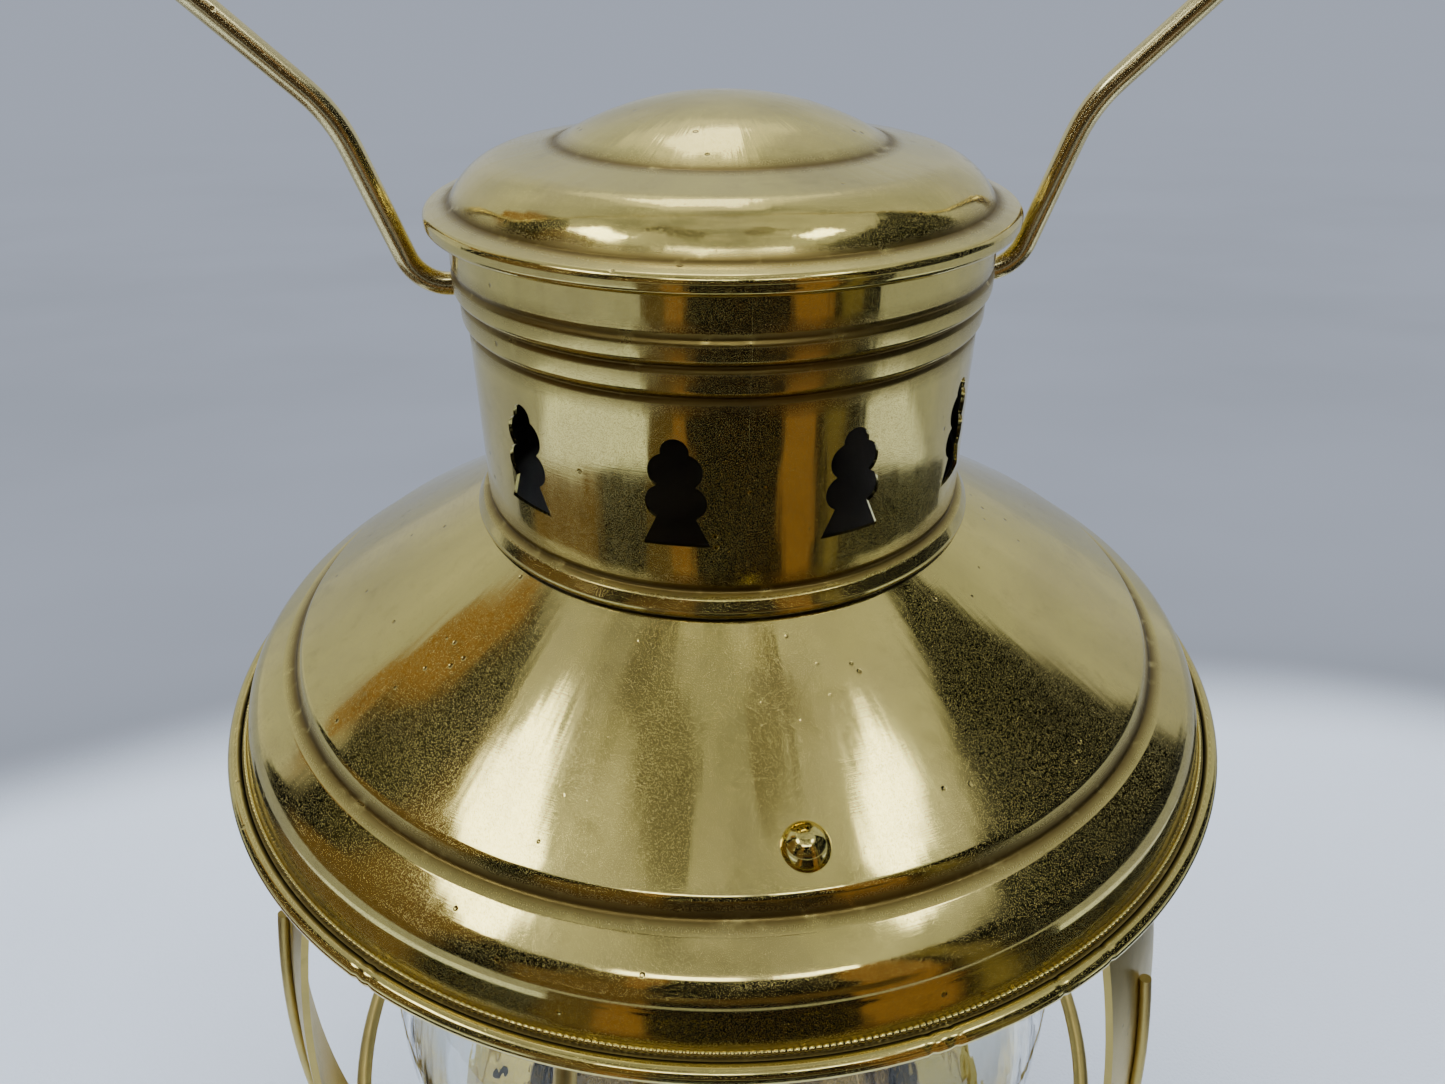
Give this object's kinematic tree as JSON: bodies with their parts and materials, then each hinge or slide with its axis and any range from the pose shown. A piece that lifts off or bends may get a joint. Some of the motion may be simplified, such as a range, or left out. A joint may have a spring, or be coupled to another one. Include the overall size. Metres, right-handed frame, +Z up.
{
  "type": "ship lantern",
  "caption": "Brass ship lantern with a vented chimney hood, swinging wire handle, strap guard, glass globe and oil lamp.",
  "frame": {"origin": "on the floor, on the lantern axis, under the middle of the base", "axes": "+Z up along the lantern axis, -Y is the front with the hood rivet, the handle swings about X"},
  "size_m": [0.2464, 0.2238, 0.525],
  "materials": {
    "polished_brass": "polished, fine scratches",
    "guard_brass": "satin, handled",
    "dull_brass": "dull, heat stained",
    "clear_glass": "clear blown glass",
    "seal": "matt",
    "wick": "woven cotton",
    "steel_wire": "drawn wire"
  },
  "bodies": {
    "frame": {"top_ring": "guard_brass", "strap_left": "guard_brass", "strap_right": "guard_brass", "strap_back": "guard_brass", "strap_rod_left": "guard_brass", "strap_rod_right": "guard_brass", "strap_rod_back": "guard_brass", "guard_wire_front": "guard_brass", "guard_wire_right": "guard_brass", "guard_wire_back": "guard_brass", "guard_ring": "guard_brass", "strap_rivets_lower": "polished_brass", "strap_rivets_upper": "polished_brass", "base_pan": "polished_brass", "foot_wire": "steel_wire", "globe_gallery": "polished_brass", "globe_seat_seal": "seal", "font_clips": "dull_brass", "globe_glass": "clear_glass"},
    "hood": {"hood_shell": "polished_brass", "hood_rim_wire": "steel_wire", "chimney_wall": "polished_brass", "cap": "polished_brass", "draught_baffle": "dull_brass", "baffle_stud": "dull_brass", "inner_flue": "dull_brass", "globe_top_seal": "seal", "hood_rivet_front": "polished_brass", "hood_rivet_back": "polished_brass", "hood_tongue_front": "dull_brass", "hood_tongue_back": "dull_brass"},
    "bail": {"bail": "polished_brass"},
    "lamp": {"font_tank": "polished_brass", "font_flange": "polished_brass", "font_collar": "polished_brass", "filler_tube": "polished_brass"},
    "filler": {"filler_cap": "polished_brass", "filler_washer": "seal"},
    "burner": {"burner_body": "polished_brass", "wick_tube": "polished_brass", "burner_deck": "polished_brass", "burner_cone": "polished_brass", "chimney_holder": "polished_brass", "spindle_sleeve": "polished_brass"},
    "knob": {"wick_spindle": "steel_wire", "wick_knob": "polished_brass"},
    "wick": {"wick": "wick"},
    "lamp_glass": {"lamp_glass": "clear_glass"}
  },
  "joints": [
    {"name": "hood_lift", "type": "slide", "parent": "frame", "child": "hood", "axis": [0, 0, 1], "range_m": [0, 0.12]},
    {"name": "bail_swing", "type": "hinge", "parent": "hood", "child": "bail", "pos_m": [0, 0, 0.3043], "axis": [1, 0, 0], "range_deg": [-138, 138]},
    {"name": "lamp_drop", "type": "slide", "parent": "frame", "child": "lamp", "axis": [0, 0, -1], "range_m": [0, 0.235]},
    {"name": "filler_turn", "type": "hinge", "parent": "lamp", "child": "filler", "pos_m": [0, 0.034, 0.05], "axis": [0, 0, 1], "continuous": true},
    {"name": "burner_turn", "type": "hinge", "parent": "lamp", "child": "burner", "pos_m": [0, 0, 0.06], "axis": [0, 0, 1], "continuous": true},
    {"name": "knob_turn", "type": "hinge", "parent": "burner", "child": "knob", "pos_m": [0, -0.0055, 0.068], "axis": [1, 0, 0], "range_deg": [-55, 110]},
    {"name": "wick_raise", "type": "slide", "parent": "burner", "child": "wick", "axis": [0, 0, 1], "range_m": [-0.004, 0.008]},
    {"name": "glass_lift", "type": "slide", "parent": "burner", "child": "lamp_glass", "axis": [0, 0, 1], "range_m": [0, 0.04]}
  ],
  "couplings": [
    {"joint": "wick_raise", "follows": "knob_turn", "m_per_rad": 0.004}
  ]
}
